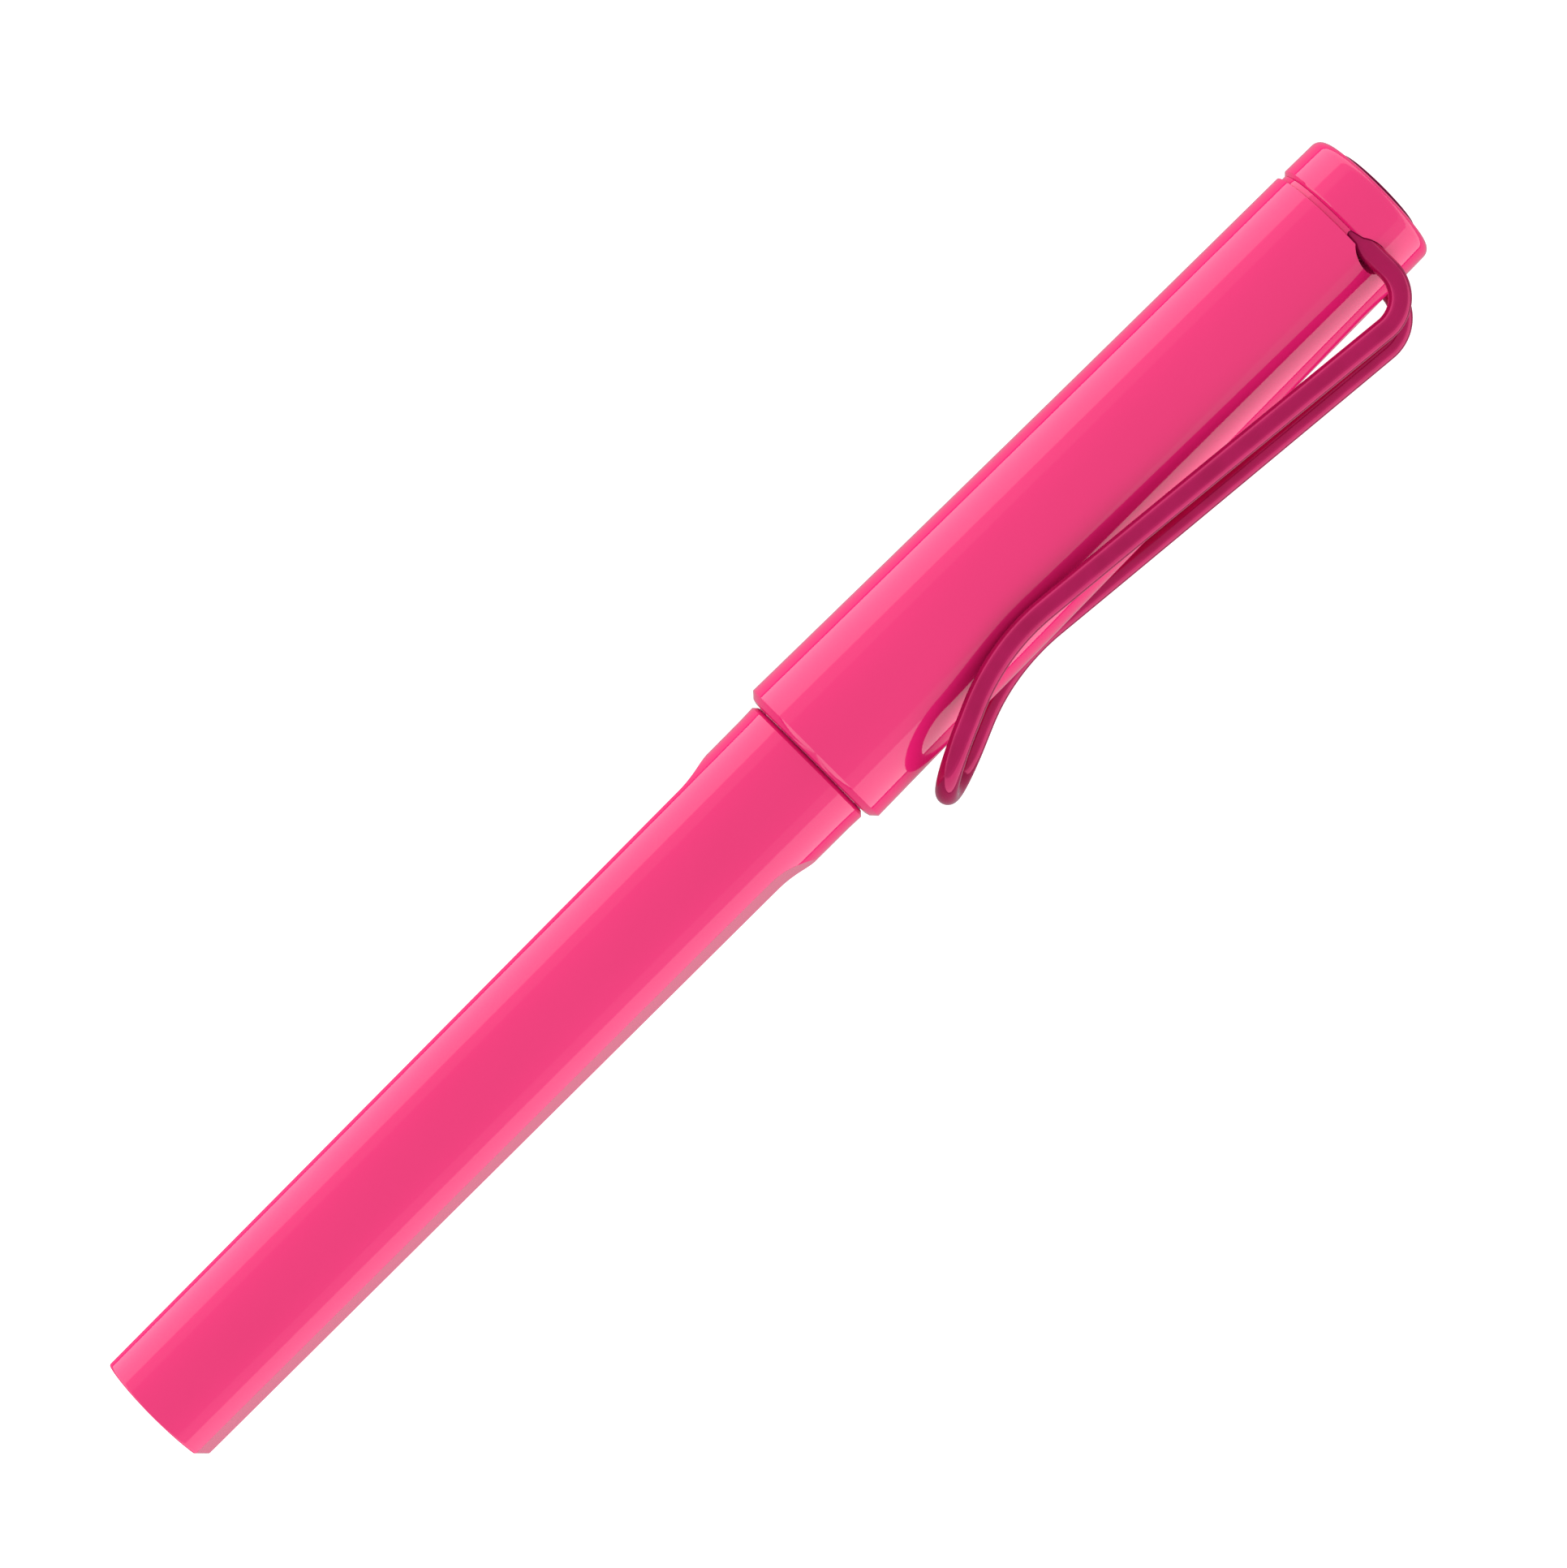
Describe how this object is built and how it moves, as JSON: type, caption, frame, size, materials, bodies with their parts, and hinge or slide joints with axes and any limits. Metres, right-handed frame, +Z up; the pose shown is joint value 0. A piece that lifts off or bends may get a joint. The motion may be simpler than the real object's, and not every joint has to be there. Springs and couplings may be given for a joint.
{
  "type": "highlighter",
  "caption": "Capped refillable highlighter with a flat-sided pink barrel, a round cap with a grooved head, and a bent wire clip.",
  "frame": {"origin": "middle of the bottom of the box, on the surface that the pen lies on", "axes": "+X along the pen from the closed end of the barrel to the head of the cap, -Y towards the clip, +Z up"},
  "size_m": [0.1396, 0.018, 0.0143],
  "materials": {
    "body_plastic": "high gloss neon pink moulded plastic",
    "ring_plastic": "satin dark plastic",
    "seal_rubber": "soft black rubber",
    "feed_plastic": "satin off-white moulded plastic",
    "felt": "bonded fibre",
    "nib_felt": "ink-soaked pressed felt",
    "cartridge_plastic": "translucent ink-tinted plastic",
    "plug_plastic": "moulded plastic",
    "ball_glass": "clear glass ball",
    "liner_plastic": "satin white moulded plastic",
    "disc_plastic": "glossy dark magenta plastic",
    "nut_brass": "turned brass",
    "washer_steel": "spring steel",
    "clip_coating": "glossy dark magenta coating on steel wire"
  },
  "bodies": {
    "pen_front": {"grip_section": "body_plastic", "cap_snap_ring": "ring_plastic", "barrel_o_ring": "seal_rubber", "ink_collector": "feed_plastic", "piercing_tube": "feed_plastic", "wick": "felt", "nib_collar": "ring_plastic", "chisel_nib": "nib_felt"},
    "barrel": {"barrel": "body_plastic"},
    "cartridge": {"cartridge_body": "cartridge_plastic", "cartridge_end_plug": "plug_plastic", "cartridge_seal_ball": "ball_glass"},
    "inner_cap": {"inner_cap": "liner_plastic"},
    "cap": {"cap_tube": "body_plastic", "clip_retainer": "body_plastic", "cap_finial": "body_plastic", "finial_screw": "disc_plastic", "finial_nut": "nut_brass", "finial_washer": "washer_steel"},
    "clip": {"clip_wire": "clip_coating"}
  },
  "joints": [
    {"name": "barrel_draw", "type": "slide", "parent": "pen_front", "child": "barrel", "axis": [-1, 0, 0], "range_m": [0, 0.065]},
    {"name": "cartridge_pull", "type": "slide", "parent": "pen_front", "child": "cartridge", "axis": [-1, 0, 0], "range_m": [0, 0.007]},
    {"name": "cap_pull", "type": "slide", "parent": "pen_front", "child": "inner_cap", "axis": [1, 0, 0], "range_m": [0, 0.055]},
    {"name": "cap_turn", "type": "hinge", "parent": "inner_cap", "child": "cap", "pos_m": [0.03025, 0.00181, 0.00717], "axis": [1, 0, 0], "continuous": true},
    {"name": "clip_flex", "type": "hinge", "parent": "cap", "child": "clip", "pos_m": [0.06487, -0.00279, 0.00717], "axis": [0, 0, 1], "range_deg": [0, 4], "stiffness_Nm_per_rad": 2}
  ]
}
